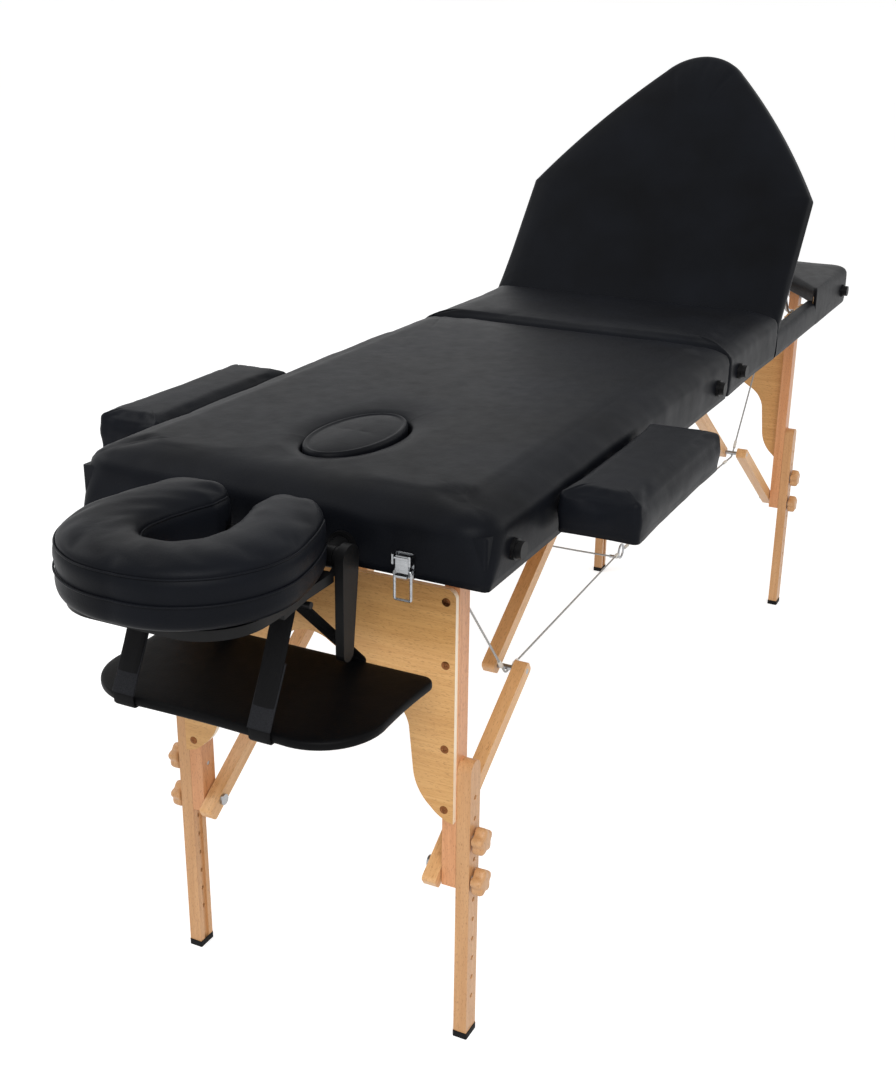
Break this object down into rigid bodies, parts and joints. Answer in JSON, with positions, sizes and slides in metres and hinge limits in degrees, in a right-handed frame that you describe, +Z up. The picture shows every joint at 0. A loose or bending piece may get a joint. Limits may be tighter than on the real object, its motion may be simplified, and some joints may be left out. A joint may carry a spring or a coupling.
{
  "type": "folding massage table",
  "caption": "Padded massage table that folds in half on wooden legs with cable-braced struts, a tilting backrest, face cradle, arm shelf and side armrests.",
  "frame": {"origin": "on the floor under the middle of the whole table's length and width", "axes": "+X from the face cradle towards the backrest end, +Y to the left, +Z up"},
  "size_m": [2.1565, 0.79, 1.2025],
  "materials": {
    "vinyl": "fine-grained soft sheen",
    "plywood": "plain sanded",
    "veneer": "satin lacquer",
    "stained_beech": "satin lacquer",
    "beech": "satin lacquer",
    "rubber": "matte",
    "black_plastic": "fine texture",
    "chrome": "polished",
    "steel": "zinc plated",
    "webbing": "woven"
  },
  "bodies": {
    "head_half": {"head_frame": "plywood", "head_cushion": "vinyl", "head_brackets": "steel", "head_fittings": "black_plastic", "latch_plates": "chrome", "head_cables": "steel"},
    "face_plug": {"face_hole_plug": "vinyl"},
    "fold_pin": {"fold_hinge_pins": "steel", "cross_cable": "steel"},
    "foot_half": {"foot_frame": "plywood", "seat_cushion": "vinyl", "foot_edge_pads": "vinyl", "foot_brackets": "steel", "foot_fittings": "black_plastic", "latch_catches": "chrome", "foot_cables": "steel"},
    "backrest": {"backrest_board": "plywood", "backrest_cushion": "vinyl"},
    "back_prop": {"backrest_prop": "steel"},
    "cradle_base": {"cradle_posts": "black_plastic"},
    "cradle_top": {"cradle_platform": "black_plastic", "cradle_cushion": "vinyl"},
    "cradle_lever": {"cradle_cam_lever": "black_plastic"},
    "shelf_straps": {"arm_shelf_straps": "webbing"},
    "shelf": {"arm_shelf": "vinyl"},
    "head_legs": {"head_upper_legs": "stained_beech", "head_end_panel": "veneer"},
    "head_lower_strut_pair": {"head_lower_struts": "stained_beech", "head_strut_bolts": "steel"},
    "head_upper_strut_pair": {"head_upper_struts": "stained_beech"},
    "head_left_leg": {"head_left_lower_leg": "beech", "head_left_rubber_foot": "rubber"},
    "head_left_upper_knob": {"head_left_upper_knob": "beech"},
    "head_left_lower_knob": {"head_left_lower_knob": "beech"},
    "head_right_leg": {"head_right_lower_leg": "beech", "head_right_rubber_foot": "rubber"},
    "head_right_upper_knob": {"head_right_upper_knob": "beech"},
    "head_right_lower_knob": {"head_right_lower_knob": "beech"},
    "foot_legs": {"foot_upper_legs": "stained_beech", "foot_end_panel": "veneer"},
    "foot_lower_strut_pair": {"foot_lower_struts": "stained_beech", "foot_strut_bolts": "steel"},
    "foot_upper_strut_pair": {"foot_upper_struts": "stained_beech"},
    "foot_left_leg": {"foot_left_lower_leg": "beech", "foot_left_rubber_foot": "rubber"},
    "foot_left_upper_knob": {"foot_left_upper_knob": "beech"},
    "foot_left_lower_knob": {"foot_left_lower_knob": "beech"},
    "foot_right_leg": {"foot_right_lower_leg": "beech", "foot_right_rubber_foot": "rubber"},
    "foot_right_upper_knob": {"foot_right_upper_knob": "beech"},
    "foot_right_lower_knob": {"foot_right_lower_knob": "beech"},
    "latch_lever_left_body": {"latch_lever_left": "chrome"},
    "latch_loop_left_body": {"latch_loop_left": "chrome"},
    "armrest_left": {"armrest_left_pad": "vinyl", "armrest_left_board": "plywood"},
    "latch_lever_right_body": {"latch_lever_right": "chrome"},
    "latch_loop_right_body": {"latch_loop_right": "chrome"},
    "armrest_right": {"armrest_right_pad": "vinyl", "armrest_right_board": "plywood"}
  },
  "joints": [
    {"name": "head_fold", "type": "hinge", "parent": "head_half", "child": "fold_pin", "pos_m": [0.14007, 0, 0.697], "axis": [0, 1, 0], "range_deg": [0, 90], "deforming": ["head_cables"]},
    {"name": "foot_fold", "type": "hinge", "parent": "fold_pin", "child": "foot_half", "pos_m": [0.14007, 0, 0.697], "axis": [0, 1, 0], "range_deg": [0, 90], "deforming": ["foot_cables"]},
    {"name": "head_leg_fold", "type": "hinge", "parent": "head_half", "child": "head_legs", "pos_m": [-0.68393, 0, 0.7205], "axis": [0, -1, 0], "range_deg": [0, 90]},
    {"name": "head_lower_strut_fold", "type": "hinge", "parent": "head_legs", "child": "head_lower_strut_pair", "pos_m": [-0.68393, 0, 0.255], "axis": [0, -1, 0], "range_deg": [0, 53.03]},
    {"name": "head_upper_strut_fold", "type": "hinge", "parent": "head_half", "child": "head_upper_strut_pair", "pos_m": [0.01007, 0, 0.7205], "axis": [0, 1, 0], "range_deg": [0, 35.63]},
    {"name": "head_left_leg_height", "type": "slide", "parent": "head_legs", "child": "head_left_leg", "axis": [0, 0, 1], "range_m": [-0.061, 0.122]},
    {"name": "head_left_upper_knob_turn", "type": "hinge", "parent": "head_legs", "child": "head_left_upper_knob", "pos_m": [-0.68393, 0.2253, 0.307], "axis": [0, 1, 0], "continuous": true},
    {"name": "head_left_lower_knob_turn", "type": "hinge", "parent": "head_legs", "child": "head_left_lower_knob", "pos_m": [-0.68393, 0.2253, 0.246], "axis": [0, 1, 0], "continuous": true},
    {"name": "head_right_leg_height", "type": "slide", "parent": "head_legs", "child": "head_right_leg", "axis": [0, 0, 1], "range_m": [-0.061, 0.122]},
    {"name": "head_right_upper_knob_turn", "type": "hinge", "parent": "head_legs", "child": "head_right_upper_knob", "pos_m": [-0.68393, -0.2253, 0.307], "axis": [0, 1, 0], "continuous": true},
    {"name": "head_right_lower_knob_turn", "type": "hinge", "parent": "head_legs", "child": "head_right_lower_knob", "pos_m": [-0.68393, -0.2253, 0.246], "axis": [0, 1, 0], "continuous": true},
    {"name": "foot_leg_fold", "type": "hinge", "parent": "foot_half", "child": "foot_legs", "pos_m": [0.96407, 0, 0.7205], "axis": [0, 1, 0], "range_deg": [0, 90]},
    {"name": "foot_lower_strut_fold", "type": "hinge", "parent": "foot_legs", "child": "foot_lower_strut_pair", "pos_m": [0.96407, 0, 0.255], "axis": [0, 1, 0], "range_deg": [0, 53.03]},
    {"name": "foot_upper_strut_fold", "type": "hinge", "parent": "foot_half", "child": "foot_upper_strut_pair", "pos_m": [0.27007, 0, 0.7205], "axis": [0, -1, 0], "range_deg": [0, 35.63]},
    {"name": "foot_left_leg_height", "type": "slide", "parent": "foot_legs", "child": "foot_left_leg", "axis": [0, 0, 1], "range_m": [-0.061, 0.122]},
    {"name": "foot_left_upper_knob_turn", "type": "hinge", "parent": "foot_legs", "child": "foot_left_upper_knob", "pos_m": [0.96407, 0.2253, 0.307], "axis": [0, 1, 0], "continuous": true},
    {"name": "foot_left_lower_knob_turn", "type": "hinge", "parent": "foot_legs", "child": "foot_left_lower_knob", "pos_m": [0.96407, 0.2253, 0.246], "axis": [0, 1, 0], "continuous": true},
    {"name": "foot_right_leg_height", "type": "slide", "parent": "foot_legs", "child": "foot_right_leg", "axis": [0, 0, 1], "range_m": [-0.061, 0.122]},
    {"name": "foot_right_upper_knob_turn", "type": "hinge", "parent": "foot_legs", "child": "foot_right_upper_knob", "pos_m": [0.96407, -0.2253, 0.307], "axis": [0, 1, 0], "continuous": true},
    {"name": "foot_right_lower_knob_turn", "type": "hinge", "parent": "foot_legs", "child": "foot_right_lower_knob", "pos_m": [0.96407, -0.2253, 0.246], "axis": [0, 1, 0], "continuous": true},
    {"name": "backrest_tilt", "type": "hinge", "parent": "foot_half", "child": "backrest", "pos_m": [0.48007, 0, 0.757], "axis": [0, -1, 0], "range_deg": [-49, 0]},
    {"name": "prop_swing", "type": "hinge", "parent": "backrest", "child": "back_prop", "pos_m": [0.57668, 0, 0.84527], "axis": [0, 1, 0], "range_deg": [-98, 0]},
    {"name": "face_plug_lift", "type": "slide", "parent": "head_half", "child": "face_plug", "axis": [0, 0, 1], "range_m": [0, 0.06]},
    {"name": "cradle_pull", "type": "slide", "parent": "head_half", "child": "cradle_base", "axis": [-1, 0, 0], "range_m": [0, 0.05]},
    {"name": "cradle_tilt", "type": "hinge", "parent": "cradle_base", "child": "cradle_top", "pos_m": [-0.82493, 0, 0.722], "axis": [0, -1, 0], "range_deg": [0, 20]},
    {"name": "cradle_lever_turn", "type": "hinge", "parent": "cradle_base", "child": "cradle_lever", "pos_m": [-0.82493, 0, 0.722], "axis": [0, 1, 0], "range_deg": [0, 28]},
    {"name": "shelf_swing", "type": "hinge", "parent": "cradle_top", "child": "shelf_straps", "pos_m": [-0.89193, 0, 0.69], "axis": [0, -1, 0], "range_deg": [-20, 0]},
    {"name": "shelf_height", "type": "slide", "parent": "shelf_straps", "child": "shelf", "axis": [0, 0, 1], "range_m": [0, 0.035], "deforming": ["arm_shelf_straps"]},
    {"name": "latch_lever_left_swing", "type": "hinge", "parent": "head_half", "child": "latch_lever_left_body", "pos_m": [-0.79643, 0.182, 0.722], "axis": [0, 1, 0], "range_deg": [0, 100]},
    {"name": "latch_loop_left_swing", "type": "hinge", "parent": "latch_lever_left_body", "child": "latch_loop_left_body", "pos_m": [-0.79643, 0.182, 0.708], "axis": [0, 1, 0], "range_deg": [0, 100]},
    {"name": "armrest_left_pull", "type": "slide", "parent": "head_half", "child": "armrest_left", "axis": [0, 1, 0], "range_m": [0, 0.045]},
    {"name": "latch_lever_right_swing", "type": "hinge", "parent": "head_half", "child": "latch_lever_right_body", "pos_m": [-0.79643, -0.182, 0.722], "axis": [0, 1, 0], "range_deg": [0, 100]},
    {"name": "latch_loop_right_swing", "type": "hinge", "parent": "latch_lever_right_body", "child": "latch_loop_right_body", "pos_m": [-0.79643, -0.182, 0.708], "axis": [0, 1, 0], "range_deg": [0, 100]},
    {"name": "armrest_right_pull", "type": "slide", "parent": "head_half", "child": "armrest_right", "axis": [0, -1, 0], "range_m": [0, 0.045]}
  ],
  "couplings": [
    {"joint": "head_leg_fold", "follows": "head_fold", "ratio": 1},
    {"joint": "head_lower_strut_fold", "follows": "head_fold", "ratio": 0.58926},
    {"joint": "head_upper_strut_fold", "follows": "head_fold", "ratio": 0.39588},
    {"joint": "foot_leg_fold", "follows": "foot_fold", "ratio": 1},
    {"joint": "foot_lower_strut_fold", "follows": "foot_fold", "ratio": 0.58926},
    {"joint": "foot_upper_strut_fold", "follows": "foot_fold", "ratio": 0.39588},
    {"joint": "prop_swing", "follows": "backrest_tilt", "ratio": 2},
    {"joint": "shelf_swing", "follows": "cradle_tilt", "ratio": -1}
  ]
}
